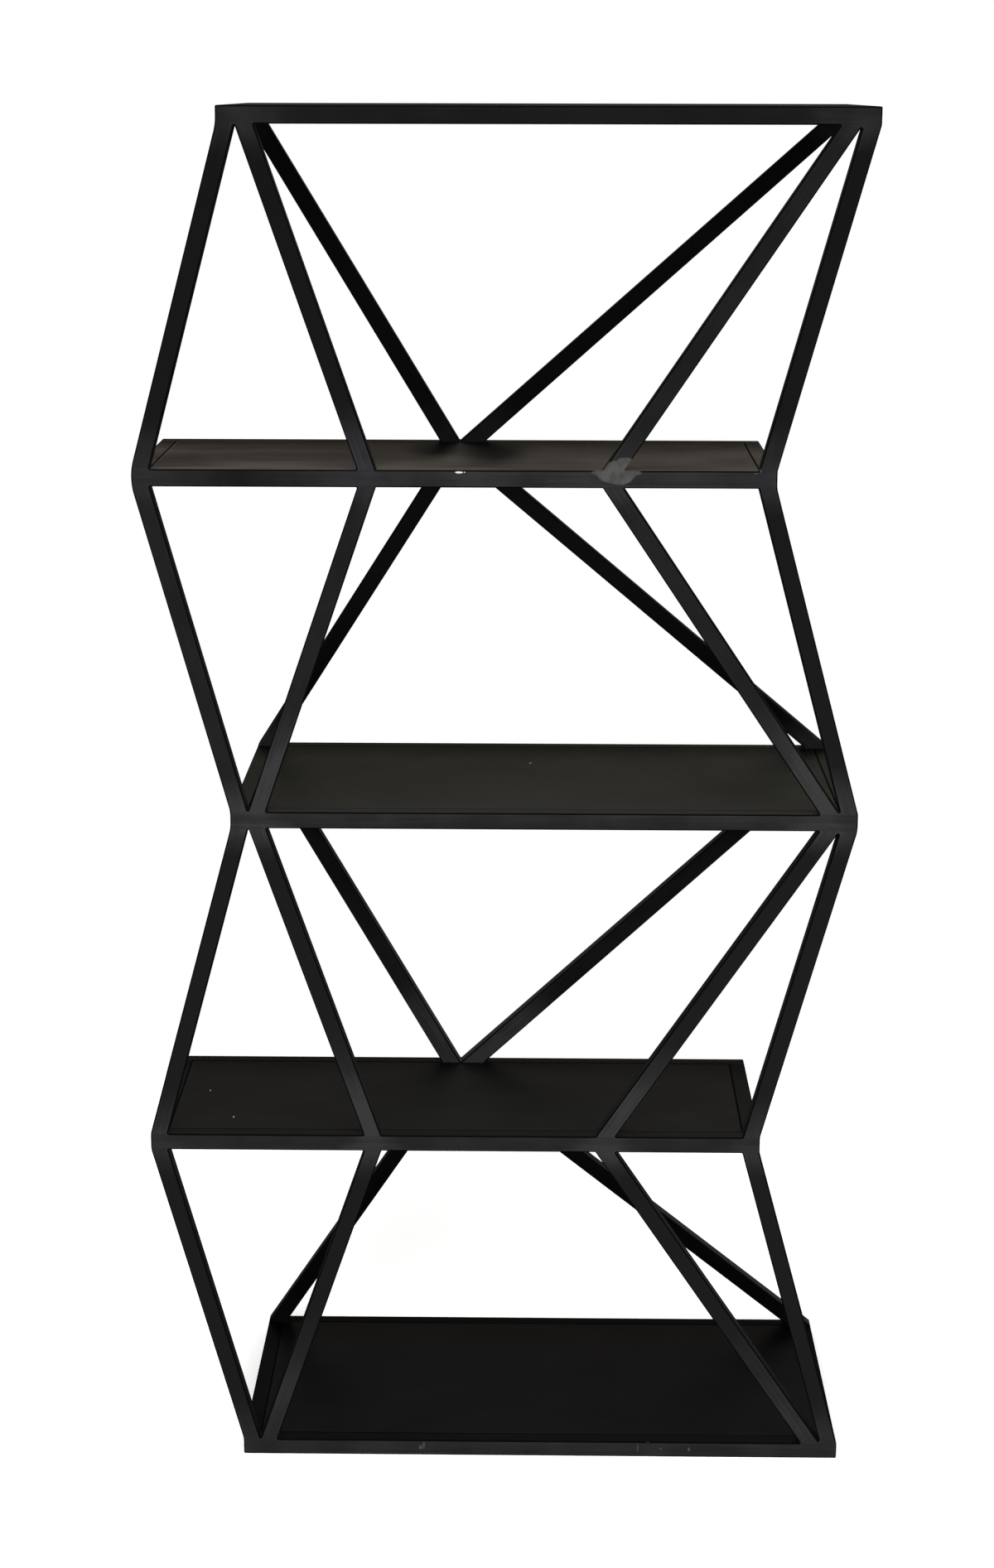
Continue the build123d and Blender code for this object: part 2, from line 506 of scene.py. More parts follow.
def plate(outline, near_y, far_y):
    """An outline in X and Z, made solid between two depths."""
    form = bmesh.new()
    near = [form.verts.new((p.x, near_y, p.y)) for p in outline]
    far = [form.verts.new((p.x, far_y, p.y)) for p in outline]
    form.faces.new(near)
    form.faces.new(reversed(far))
    for i in range(len(outline)):
        form.faces.new((near[i], near[i - 1], far[i - 1], far[i]))
    bmesh.ops.recalc_face_normals(form, faces=form.faces)
    return form


def united(forms):
    """One closed body from several that overlap or touch."""
    parts = [as_object(f"part_{i}", form) for i, form in enumerate(forms)]
    for other in parts[1:]:
        join = parts[0].modifiers.new("join", "BOOLEAN")
        join.operation, join.solver, join.object = "UNION", "EXACT", other
    view = bpy.context.evaluated_depsgraph_get()
    mesh = bpy.data.meshes.new_from_object(parts[0].evaluated_get(view))
    form = bmesh.new()
    form.from_mesh(mesh)
    bpy.data.meshes.remove(mesh)
    for part in parts:
        bpy.data.meshes.remove(part.data)
    bmesh.ops.remove_doubles(form, verts=form.verts, dist=touching)
    bmesh.ops.dissolve_limit(form, angle_limit=flat_enough, verts=form.verts, edges=form.edges)
    return form


def level_faces(form, z):
    """The faces that lie level at a height."""
    return [f for f in form.faces if all(abs(point.co.z - z) < same_place for point in f.verts)]


def welded_level(shelf):
    """A shelf frame with all its stubs, united and rounded."""
    low, high = rail_box(shelf)
    back_low, back_high = rail_box(shelf, "back")
    parts = []
    for place, near, far in (("front", low.y, high.y), ("back", back_low.y, back_high.y)):
        outline = fill_inside_corners(plate_corners(shelf, place))
        parts.append(plate(outline, near, far))
    for left in (low.x, high.x - tube):
        square = ((0, 0), (tube, 0), (tube, tube), (0, tube))
        outline = [Vector((left + x, low.z + z)) for x, z in square]
        parts.append(plate(outline, high.y, back_low.y))
    form = united(parts)
    ends = {half["middle_z"] for half in stubs_at(shelf, "front")}
    cap_edges = {edge for z in ends for face in level_faces(form, z) for edge in face.edges}
    outside = [
        edge for edge in form.edges
        if edge.is_convex and edge not in cap_edges and edge.calc_face_angle() > slight_turn
    ]
    rounded = bmesh.ops.bevel(
        form, geom=outside, offset=edge_round, offset_type="OFFSET", segments=3,
        profile=0.5, affect="EDGES", clamp_overlap=False,
        miter_inner="SHARP", miter_outer="SHARP", loop_slide=True,
    )
    for face in rounded["faces"]:
        face.material_index = edge_finish
    mark_light_and_wear(form, set(rounded["faces"]), high.z)
    open_edges = sum(not edge.is_manifold for edge in form.edges)
    print(f"level {shelf}: {len(form.faces)} faces, {open_edges} open edges")
    return form


levels = {shelf: welded_level(shelf) for shelf in shelves}

# %% [markdown]
# The outer struts turn at every shelf, and a grinder has gone over each of these
# elbows by hand.  Some turn in one smooth bow, others keep a corner.  A few cuts
# across each elbow first give it enough points.  Then the points on its outer side
# slide sideways, onto an arc that touches the rail's end and the strut.  The shift is
# largest at the corner, and dies away towards the inner side of the tube.

# %% Grind the elbows
through = 1e-7  # how near a point must lie to a cut to be on it
elbow_radius = {
    # (shelf, side): (where the rail's end meets the strut above it, and the one below)
    (1, "left"): (0.040, None), (1, "right"): (0.025, None),
    (2, "left"): (0.035, 0.035), (2, "right"): (0.020, 0.030),
    (3, "left"): (0.050, 0.060), (3, "right"): (0.015, 0.060),
    (4, "left"): (0.090, 0.090), (4, "right"): (0.015, 0.045),
    (5, "left"): (None, 0.085), (5, "right"): (None, 0.012),
}
ring_distances = (0.003, 0.006, 0.009, 0.012)  # of the cuts, from the face of the rail
ground_depth = 3 * tube  # behind the front faces nothing has been ground


def cut_through(form, point, normal, keep_one_side):
    """Cut a body by a plane; where one side is kept, close it with a flat end."""
    everything = form.verts[:] + form.edges[:] + form.faces[:]
    cut = bmesh.ops.bisect_plane(
        form, geom=everything, dist=through, plane_co=point, plane_no=normal, clear_outer=keep_one_side,
    )
    if keep_one_side:
        edges = [item for item in cut["geom_cut"] if isinstance(item, bmesh.types.BMEdge)]
        rim = [edge for edge in edges if edge.is_boundary]
        bmesh.ops.holes_fill(form, edges=rim, sides=0)


def grind_elbow(form, strut, at_top, radius, outward):
    """Slide the outer side of an elbow onto an arc; gives the largest shift."""
    low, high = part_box(strut)
    near, far = cut_edges(strut, at_top), cut_edges(strut, not at_top)
    corner_z = high.z if at_top else low.z
    into_bay = -1 if at_top else 1
    end = near[0] if outward < 0 else near[1]
    run = (far[0] - near[0]) / (high.z - low.z)
    reach = radius * math.tan(math.atan(abs(run)) / 2)
    side = -outward if run * outward < 0 else outward
    largest = 0.0
    for point in form.verts:
        past = reach - abs(point.co.z - corner_z)
        if past <= 0 or point.co.y > front_y + ground_depth:
            continue
        outer_x = end + run * max(0.0, (point.co.z - corner_z) * into_bay)
        share = 1 - abs(point.co.x - outer_x) / tube
        if share > 0:
            shift = past**2 / (2 * radius) * share
            point.co.x += side * shift
            largest = max(largest, shift)
    return largest


for shelf, form in levels.items():
    low, high = rail_box(shelf)
    for distance in ring_distances:
        for height in (high.z + distance, high.z - distance, low.z + distance, low.z - distance):
            cut_through(form, (0, 0, height), (0, 0, 1), False)
    for side, outward in (("left", -1), ("right", 1)):
        above, below = elbow_radius[shelf, side]
        for radius, bay, at_top in ((above, shelf, False), (below, shelf - 1, True)):
            if radius:
                strut = f"bay_{bay}_front_{side}_outer_strut"
                shift = grind_elbow(form, strut, at_top, radius, outward)
                print(f"level {shelf} {side}: {strut} ground by up to {shift * 1000:.2f} mm")

# %% [markdown]
# ## Saw the levels into tubes
#
# Each tube is what is left of its level between a few flat saw cuts.  The four rails
# of a shelf frame meet on mitres, so those cuts run at 45 degrees through the
# corners.  A strut ends on the weld line at the face of its rail.  Its two halves,
# one from the level below and one from the level above, meet in the middle of the bay
# and are joined there, point by point round their rims.

# %% The saw
saw_line = 0.00002  # how far off a weld line the saw runs


def sawn(body, planes):
    """A copy of a body, with all that lies outside the planes sawn off, one by one."""
    form = body.copy()
    for point, outward in planes:
        cut_through(form, point, outward, True)
    return form


def rails_of(shelf):
    """The four rails of a shelf frame, sawn from its level."""
    low, high = rail_box(shelf)
    back = rail_box(shelf, "back")[1].y
    middle = Vector(((low.x + high.x) / 2, (low.y + back) / 2, 0))
    to_corner = Vector(((high.x - low.x) / 2, (back - low.y) / 2, 0))
    heights = [((0, 0, high.z + saw_line), (0, 0, 1)), ((0, 0, low.z - saw_line), (0, 0, -1))]
    if shelf == shelf_count:
        heights = heights[1:]
    if shelf == 1:
        heights = heights[:1]
    rails = {}
    for side, outward, sideways in (
        ("front", Vector((0, -1, 0)), Vector((1, 0, 0))),
        ("back", Vector((0, 1, 0)), Vector((1, 0, 0))),
        ("left", Vector((-1, 0, 0)), Vector((0, 1, 0))),
        ("right", Vector((1, 0, 0)), Vector((0, 1, 0))),
    ):
        planes = heights + [(middle, -outward)]
        for past in (-sideways, sideways):
            corner = middle + to_corner * (outward + past)
            planes.append((corner - (past - outward) * saw_line, past - outward))
        rails[f"shelf_{shelf}_{side}_rail"] = sawn(levels[shelf], planes)
    return rails


tubes = {}
for shelf in shelves:
    tubes.update(rails_of(shelf))
print(len(tubes), "rails")

# %% [markdown]
# Two struts that start side by side are parted by a cut which runs along between them,
# so it leans as they do.  It goes through the middle of the gap at the weld, and
# through the middle of the gap where the halves end.

# %% Saw off the stubs and join them into struts
def cut_between(left, right):
    """A point on the cut between two neighbouring stubs, and its way to the right."""
    at_weld = Vector(((left["weld"][1] + right["weld"][0]) / 2, 0, left["weld_z"]))
    at_middle = Vector(((left["middle"][1] + right["middle"][0]) / 2, 0, left["middle_z"]))
    along = at_middle - at_weld
    return at_weld, Vector((along.z, 0, -along.x)) * math.copysign(1, along.z)


halves = {}
for shelf in shelves:
    for place, facing in (("front", Vector((0, 1, 0))), ("back", Vector((0, -1, 0)))):
        for up in (True, False):
            stubs = [half for half in stubs_at(shelf, place) if half["up"] == up]
            for i, half in enumerate(stubs):
                rise = 1 if up else -1
                weld_cut = ((0, 0, half["weld_z"] + rise * saw_line), (0, 0, -rise))
                planes = [weld_cut, ((0, 0, 0), facing)]
                if i > 0:
                    point, to_the_right = cut_between(stubs[i - 1], half)
                    planes.append((point, -to_the_right))
                if i < len(stubs) - 1:
                    planes.append(cut_between(half, stubs[i + 1]))
                form = sawn(levels[shelf], planes)
                bmesh.ops.delete(form, geom=level_faces(form, half["middle_z"]), context="FACES_ONLY")
                halves.setdefault(half["strut"], []).append((shelf, form))


def lean_back(form, shelf, other):
    """Shift a half strut's points in depth, so that it leans from plate to plate."""
    here, there = rail_box(shelf, "back"), rail_box(other, "back")
    up = other > shelf
    weld_z, far_z = (here[1].z, there[0].z) if up else (here[0].z, there[1].z)
    slope = (there[1].y - here[1].y) / (far_z - weld_z)
    for point in form.verts:
        point.co.y += slope * (point.co.z - weld_z)


def round_the_rim(form):
    """The points of a half strut's open rim, in their order round its middle."""
    rim = [point for point in form.verts if point.is_boundary]
    middle = sum((point.co for point in rim), Vector()) / len(rim)
    return sorted(rim, key=lambda point: math.atan2(point.co.y - middle.y, point.co.x - middle.x))


for strut, ((lower, first), (upper, second)) in halves.items():
    if "_back_" in strut:
        lean_back(first, lower, upper)
        lean_back(second, upper, lower)
    for one, other in zip(round_the_rim(first), round_the_rim(second), strict=True):
        one.co = other.co = (one.co + other.co) / 2
    carrier = bpy.data.meshes.new("carrier")
    second.to_mesh(carrier)
    first.from_mesh(carrier)
    bpy.data.meshes.remove(carrier)
    second.free()
    rims = [point for point in first.verts if point.is_boundary]
    bmesh.ops.remove_doubles(first, verts=rims, dist=same_place)
    tubes[strut] = first
for level in levels.values():
    level.free()
farthest_off = 0.0
for name, form in tubes.items():
    open_edges = sum(not edge.is_manifold for edge in form.edges)
    if open_edges:
        print(f"{name} has {open_edges} open edges")
    low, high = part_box(name)
    for axis in range(3):
        reach = [point.co[axis] for point in form.verts]
        farthest_off = max(farthest_off, abs(min(reach) - low[axis]), abs(max(reach) - high[axis]))
print(f"{len(tubes)} tubes, each within {farthest_off * 1000:.1f} mm of its box in the packed model")

# %% [markdown]
# ## What each tube carries for its finish
#
# Two more marks are stored on the points of every tube.  "bare" says how far the black
# was rubbed down to grey: a little along the rails, and most at the welds, where the
# grinder and the sanding block have been.  Up the inner struts it reaches furthest,
# and the outer ones were done with less care.  "towards_back" runs from 0 at the front
# of a shelf frame to 1 at its back, where the patina is painted darker as painted shade.
#
# A mark is only as fine as the points that carry it, so every tube is first cut
# across each 20 mm.  The distance to the nearest weld comes from a KD tree, which
# finds the nearest of many points quickly.

# %% Mark the tubes
cut_spacing = 0.020
rail_tone = {1: 0.62, 2: 0.36, 3: 0.50, 4: 0.74, 5: 0.10}  # how grey each frame was rubbed
darker_stretch_x, darker_stretch_width, darker_stretch = -0.375, 0.15, 0.95  # a darker stretch at the left of the fourth front rail: where, how wide and how much darker
fades_down = {1: 0.0, 2: 0.0, 3: 0.90, 4: 0.25, 5: 0.0}  # how much lighter towards its top and darker towards its lower edge each front rail is
weld_tone = {1: 0.85, 2: 1.20, 3: 1.45, 4: 0.95, 5: 0.65}  # and how grey its welds
at_rails = 0.85  # the part of that on the rail itself
at_outer_struts = 0.70  # and the part at the outer struts
reach_up = {1: 0.26, 2: 0.20, 3: 0.24, 4: 0.105, 5: 0.105}  # of the rubbing up the inner struts
reach_elsewhere = 0.08  # and up the outer ones
reach_below = 0.045  # and below a shelf
foot_behind = {1: (0.43, 0.08), 2: (6.5, 0.20), 3: (2.9, 0.08), 4: (0.95, 0.08)}
head_behind = {1: 3.0, 2: 2.9, 3: 0.90, 4: 1.60}  # tone at the welds of the struts behind each bay
all_along = {
    # struts that were rubbed over their whole length
    "bay_3_front_left": 0.20, "bay_3_front_right_inner": 0.22, "bay_4_front_right_inner": 0.20,
    "bay_2_back": 0.80,
}

lowest_z = {name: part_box(name)[0].z for name in tubes}
weld_points = []
for shelf in shelves:
    for place in ("front", "back"):
        plate_low, plate_high = rail_box(shelf, place)
        for half in stubs_at(shelf, place):
            left, right = half["weld"]
            tone = weld_tone[shelf] * (at_outer_struts if "outer" in half["strut"] else 1.0)
            for x in (left, (left + right) / 2, right):
                point = Vector((x, (plate_low.y + plate_high.y) / 2, half["weld_z"]))
                weld_points.append((point, shelf, tone))
weld_tree = KDTree(len(weld_points))
for i, weld in enumerate(weld_points):
    weld_tree.insert(weld[0], i)
weld_tree.balance()


def tube_axis(name):
    """The direction that a tube runs in, from its foot or left end to its other end."""
    low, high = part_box(name)
    if name.endswith(("front_rail", "back_rail")):
        return Vector((1, 0, 0))
    if name.endswith("_rail"):
        return Vector((0, 1, 0))
    foot, head = sum(cut_edges(name, False)) / 2, sum(cut_edges(name, True)) / 2
    return Vector((head - foot, 0, high.z - low.z)).normalized()


def how_bare(point, name):
    """How far the black has been sanded down to grey at a point of a tube."""
    _, i, distance = weld_tree.find(point)
    weld, shelf, tone = weld_points[i]
    above = point.z > weld.z
    reach = reach_below
    if above:
        reach = reach_up[shelf] if "inner" in name else reach_elsewhere
    if name.endswith("strut") and "_back_" in name:
        bay = int(name.split("_")[1])
        tone, reach = foot_behind[bay] if above else (head_behind[bay], reach_below)
    close = max(0.0, 1 - distance / reach)
    at_weld = tone * close * close * (3 - 2 * close)
    if name.endswith("rail"):
        up_the_face = (point.z - lowest_z[name]) / tube
        even = rail_tone[shelf] * (1 + fades_down[shelf] * (up_the_face - 0.5))
        # the darker stretch at the left of the fourth front rail
        if name == "shelf_4_front_rail":
            aside = min(1.0, abs(point.x - darker_stretch_x) / darker_stretch_width)
            even *= 1 - darker_stretch * (1 - aside)
        return max(at_rails * at_weld, even)
    along = [value for start, value in all_along.items() if name.startswith(start)]
    return max([at_weld] + along)


for name, form in tubes.items():
    axis = tube_axis(name)
    reach = [point.co.dot(axis) for point in form.verts]
    places = int((max(reach) - min(reach)) / cut_spacing)
    for i in range(1, places):
        cut_through(form, axis * (min(reach) + i * cut_spacing), axis, False)
    bare = form.verts.layers.float.new("bare")
    for point in form.verts:
        point[bare] = how_bare(point.co, name)
    if name.endswith("rail"):
        back_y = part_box(name.rsplit("_", 2)[0] + "_back_rail")[1].y
        towards_back = form.verts.layers.float.new("towards_back")
        for point in form.verts:
            point[towards_back] = (point.co.y - front_y) / (back_y - front_y)
print("points on all tubes:", sum(len(form.verts) for form in tubes.values()))

# %% [markdown]
# The sanding left fine lines along each tube.  They need a UV map of their own, with
# U running along the tube and V round it, both in metres.  Each face is laid flat
# from the side that it looks to most.

# %% Lay a UV map along the tubes
looks_along = 0.3  # below this a face looks along the tube, and any way across will do


def map_along(form, axis):
    """A UV map in metres: U along the tube, V across the face."""
    uv = form.loops.layers.uv.new("along_tube")
    for face in form.faces:
        across = face.normal.cross(axis)
        if across.length < looks_along:
            across = axis.orthogonal()
        across.normalize()
        for loop in face.loops:
            loop[uv].uv = (loop.vert.co.dot(axis), loop.vert.co.dot(across))


for name, form in tubes.items():
    map_along(form, tube_axis(name))

# %% [markdown]
# ## The finish of the tubes
#
# The tube is hot rolled steel, blackened and waxed.  Where nobody touched it, it is
# almost pure black.  Where it was rubbed, a dark grey comes through, here and there
# with a breath of blue.  That grey is painted in full on the faces that look out of the
# frame and much less on the sides and on the faces that look in: painted light and
# shade.  Satin wax mirrors much less than polished metal or thick lacquer does, so the
# index of refraction is set low.  The two struts behind each bay were blackened but
# never waxed.  They mirror even less, and look the blackest.  The rounded edges of
# every tube lost their wax to hands and cloths, and the matt black that is left there
# mirrors almost nothing.  Their colour is kept black as well, a painted dark outline:
# together these draw the thin black outline of each tube.  The sides of the leaning
# struts that look up are painted paler, a painted highlight from above.

# %% Helpers for finishes
def new_finish(name):
    """An empty material, its node tree and its Object coordinates."""
    material, tree = new_material(name)
    return material, tree, add_node(tree, "ShaderNodeTexCoord").outputs["Object"]


def surface(tree, colour, roughness, refraction, height, strength, depth):
    """Join a colour, a roughness and a fine relief to the output of a material."""
    relief = add_node(tree, "ShaderNodeBump", {"Height": height, "Strength": strength, "Distance": depth})
    shader = add_node(tree, "ShaderNodeBsdfPrincipled", {
        "Base Color": colour, "Roughness": roughness, "IOR": refraction, "Normal": relief.outputs[0],
    })
    add_node(tree, "ShaderNodeOutputMaterial", {"Surface": shader.outputs[0]})


def noise(tree, where, scale, detail=3.0, stretch=None):
    """Noise between 0 and 1, if need be stretched along an axis."""
    if stretch:
        where = add_node(tree, "ShaderNodeMapping", {"Vector": where, "Scale": stretch}).outputs[0]
    inputs = {"Vector": where, "Scale": scale, "Detail": detail}
    return add_node(tree, "ShaderNodeTexNoise", inputs).outputs[0]


def around_zero(tree, value, size):
    """Turn noise from 0 to 1 into noise of a given size to both sides of zero."""
    return times(tree, maths(tree, "SUBTRACT", value, 0.5), size)


def mark(tree, name):
    """A mark that is stored on the points of the mesh."""
    return add_node(tree, "ShaderNodeAttribute", attribute_name=name).outputs["Fac"]


def blob(tree, where, place, half_sizes, ragged, core=0.9):
    """1 in the core of a ragged ellipsoid round a place, and 0 outside it."""
    in_sizes = vector_maths(tree, "DIVIDE", vector_maths(tree, "SUBTRACT", where, place), half_sizes)
    how_far = add_node(tree, "ShaderNodeVectorMath", {0: in_sizes}, operation="LENGTH").outputs["Value"]
    return smooth_range(tree, plus(tree, how_far, ragged), 1.0, core)


# %% [markdown]
# The sheets and the tops of the rails round them were brushed from side to side and
# waxed together, each shelf with its own pair of tints.  So both finishes take
# this patina from one function.  A ramp with constant steps picks the pair of tints by
# the height of the surface.  The patina is painted lighter in front and darker towards
# the back edge, almost black there: painted light and shade that falls off towards the
# back of each shelf.  The top of the rail behind it is a little lighter again.

# %% The patina of the shelves
top_of = {shelf: rail_box(shelf)[1].z for shelf in shelves}
patina_tints = (
    # dark and light tint of each shelf, from the lowest up
    ((0.0022, 0.0024, 0.0037, 1.0), (0.0040, 0.0044, 0.0055, 1.0)),
    ((0.0070, 0.0078, 0.0075, 1.0), (0.0103, 0.0109, 0.0103, 1.0)),
    ((0.0194, 0.0206, 0.0160, 1.0), (0.0245, 0.0248, 0.0202, 1.0)),
    ((0.0280, 0.0240, 0.0180, 1.0), (0.0940, 0.0830, 0.0720, 1.0)),
    ((0.0060, 0.0030, 0.0020, 1.0), (0.0240, 0.0150, 0.0140, 1.0)),
)
# painted shade: the near black that the back of each shelf fades into
shade_at_back = (0.0008, 0.0008, 0.0008, 1.0)
lighter_in_front = 0.42  # painted light: how much the light tint gains from the back to the front
evenly_mixed = 0.38  # where on the way both tints show alike
back_shade_from, back_shade_to = 0.70, 0.96  # where the painted shade at the back begins and where it is full
rail_top_from, rail_top_to = 0.915, 0.945  # and where the lighter tops of the rails behind begin
rail_tops_behind = (
    (0.0010, 0.0010, 0.0010, 1.0),
    (0.0060, 0.0062, 0.0058, 1.0),
    (0.0130, 0.0128, 0.0105, 1.0),
    (0.0300, 0.0262, 0.0210, 1.0),
    (0.0010, 0.0010, 0.0010, 1.0),
)


def by_shelf(tree, where, colours):
    """A colour for each shelf, picked by the height of the surface."""
    height = add_node(tree, "ShaderNodeSeparateXYZ", {0: where}).outputs["Z"]
    pitch = top_of[2] - top_of[1]
    share = maths(tree, "DIVIDE", plus(tree, height, pitch / 2), pitch * shelf_count)
    ramp = add_node(tree, "ShaderNodeValToRGB", {"Fac": share})
    stops = ramp.color_ramp
    stops.interpolation = "CONSTANT"
    while len(stops.elements) < len(colours):
        stops.elements.new(1.0)
    for i, colour in enumerate(colours):
        stops.elements[i].position = i / len(colours)
        stops.elements[i].color = colour
    return ramp.outputs["Color"]


def patina(tree, where):
    """The colour of the waxed steel, cloudy and brushed from side to side, painted lighter in front and
    darker towards the back as painted shade.
    """
    clouds = noise(tree, where, 1.0, 4.0, stretch=(5.0, 12.0, 12.0))
    brush_lines = noise(tree, where, 1.0, 4.0, stretch=(3.0, 150.0, 150.0))
    uneven = plus(tree, clouds, around_zero(tree, brush_lines, 0.60))
    towards_back = mark(tree, "towards_back")
    in_front = maths(tree, "SUBTRACT", evenly_mixed, towards_back)
    uneven = plus(tree, uneven, times(tree, in_front, lighter_in_front))
    tint = smooth_range(tree, uneven, 0.22, 0.78)
    dark = by_shelf(tree, where, [pair[0] for pair in patina_tints])
    light = by_shelf(tree, where, [pair[1] for pair in patina_tints])
    two_tints = mix_colours(tree, tint, dark, light)
    # painted shade towards the back of each shelf
    shaded_back = smooth_range(tree, towards_back, back_shade_from, back_shade_to)
    return mix_colours(tree, shaded_back, two_tints, shade_at_back)


# %% [markdown]
# One weld at the fourth shelf was touched up with a paler paint that never matched, a
# few chips show the primer, and feet and a broom have scuffed the lowest rail.  Two pale
# marks in the fourth shelf's right inside corner paint the glint on its weld fillet, a
# painted highlight, in the grey of the scuffs.  Each is an ellipsoid put in by its place
# on the bookshelf, and noise makes its edge ragged.

# %% Places that were touched up, chipped or scuffed, and a painted glint
def on_front(x, z, half_wide, half_high, half_deep=0.003):
    """Place and half sizes of a mark on the front faces."""
    return Vector((x, front_y, z)), Vector((half_wide, half_deep, half_high))


touch_ups = (
    on_front(0.1665, top_of[4] - 0.0030, 0.0370, 0.0060, 0.005),
    on_front(0.1675, top_of[4] - 0.0028, 0.0290, 0.0180, 0.005),
    on_front(0.1680, top_of[4] + 0.0020, 0.0150, 0.0110, 0.005),
    on_front(0.1800, top_of[4] + 0.0070, 0.0170, 0.0125, 0.005),
)
chips = (
    on_front(-0.0585, top_of[4] - 0.0032, 0.0060, 0.0015),
    on_front(-0.0507, top_of[4] - 0.0029, 0.0010, 0.0009),
)
scuffs_and_glint = (
    # painted highlight: these two paint the glint on the weld fillet in the fourth shelf's right inside
    # corner
    on_front(0.3672, top_of[4] - 0.0032, 0.0045, 0.0010),
    on_front(0.3735, top_of[4] + 0.0004, 0.0014, 0.0035),
    # scuffs on the lowest rail
    on_front(-0.1155, 0.0165, 0.0024, 0.0085),
    on_front(-0.1205, 0.0130, 0.0040, 0.0050),
    on_front(0.2194, 0.0147, 0.0011, 0.0105),
    on_front(0.2356, 0.0250, 0.0030, 0.0009),
    on_front(0.2553, 0.0141, 0.0032, 0.0018),
    on_front(0.2996, 0.0133, 0.0026, 0.0050),
)

# %% Blackened tube
tube_black = (0.0025, 0.0025, 0.0026, 1.0)
rubbed_grey = (0.0215, 0.0216, 0.0218, 1.0)
rubbed_blue = (0.0203, 0.0203, 0.0235, 1.0)
barest = 1.35  # the most that is ever rubbed off
touch_up_dark = (0.043, 0.044, 0.043, 1.0)
touch_up_light = (0.066, 0.066, 0.064, 1.0)
primer = (0.60, 0.60, 0.57, 1.0)
# grey of the scuffs, and of the painted glint in the fourth shelf's corner
scuff_and_glint_grey = (0.075, 0.075, 0.073, 1.0)
# painted highlight from the light above, on the sides that look up
top_light_colour = (0.30, 0.29, 0.27, 1.0)
blue_within, blue_ends = 0.10, 0.30  # of the fourth shelf, up or down
# indexes of refraction, which say how well a finish mirrors
waxed_mirrors, unwaxed_mirrors, matt_mirrors = 1.2, 1.1, 1.03
satin = (0.30, 0.36)  # roughness in and between the sanding lines
rougher_bare, rougher_painted = 0.08, 0.15  # what rubbing and paint add to it


def steel_colour(tree, where, bare_and_lit, top_light_share):
    """Black, grey where the steel was sanded, as far as the painted light and shade of the face allow, a
    painted highlight on the upper sides, patina on the tops.
    """
    height = add_node(tree, "ShaderNodeSeparateXYZ", {0: where}).outputs["Z"]
    from_fourth = maths(tree, "ABSOLUTE", maths(tree, "SUBTRACT", height, top_of[4]))
    near_fourth = smooth_range(tree, from_fourth, blue_ends, blue_within)
    patches = smooth_range(tree, noise(tree, where, 6.0, 2.0), 0.45, 0.65)
    grey = mix_colours(tree, times(tree, patches, near_fourth), rubbed_grey, rubbed_blue)
    greyer = vector_maths(tree, "SUBTRACT", grey, tube_black[:3])
    colour = vector_maths(tree, "ADD", vector_maths(tree, "MULTIPLY", greyer, bare_and_lit), tube_black[:3])
    # painted highlight from above on the sides that look up
    top_lit = times(tree, mark(tree, "lit_from_above"), top_light_share)
    colour = mix_colours(tree, top_lit, colour, top_light_colour)
    behind = smooth_range(tree, mark(tree, "towards_back"), rail_top_from, rail_top_to)
    top = mix_colours(tree, behind, patina(tree, where), by_shelf(tree, where, rail_tops_behind))
    return mix_colours(tree, mark(tree, "waxed"), colour, top)


def with_marks(tree, where, colour):
    """The colour with what was touched up, scuffed and chipped, a painted glint, and where it is painted.
    """
    wavy = around_zero(tree, noise(tree, where, 60.0, 2.0), 0.30)
    painted = 0.0
    for spot in touch_ups:
        painted = maths(tree, "MAXIMUM", painted, blob(tree, where, *spot, wavy))
    cloudy = smooth_range(tree, noise(tree, where, 70.0, 4.0), 0.35, 0.65)
    touched_up = mix_colours(tree, cloudy, touch_up_dark, touch_up_light)
    colour = mix_colours(tree, painted, colour, touched_up)
    crumbly = around_zero(tree, noise(tree, where, 420.0, 3.0), 0.8)
    # scuffs, and the painted glint in the fourth shelf's right inside corner
    for spot in scuffs_and_glint:
        colour = mix_colours(tree, blob(tree, where, *spot, crumbly, 0.1), colour, scuff_and_glint_grey)
    for spot in chips:
        colour = mix_colours(tree, blob(tree, where, *spot, crumbly), colour, primer)
    return colour, painted


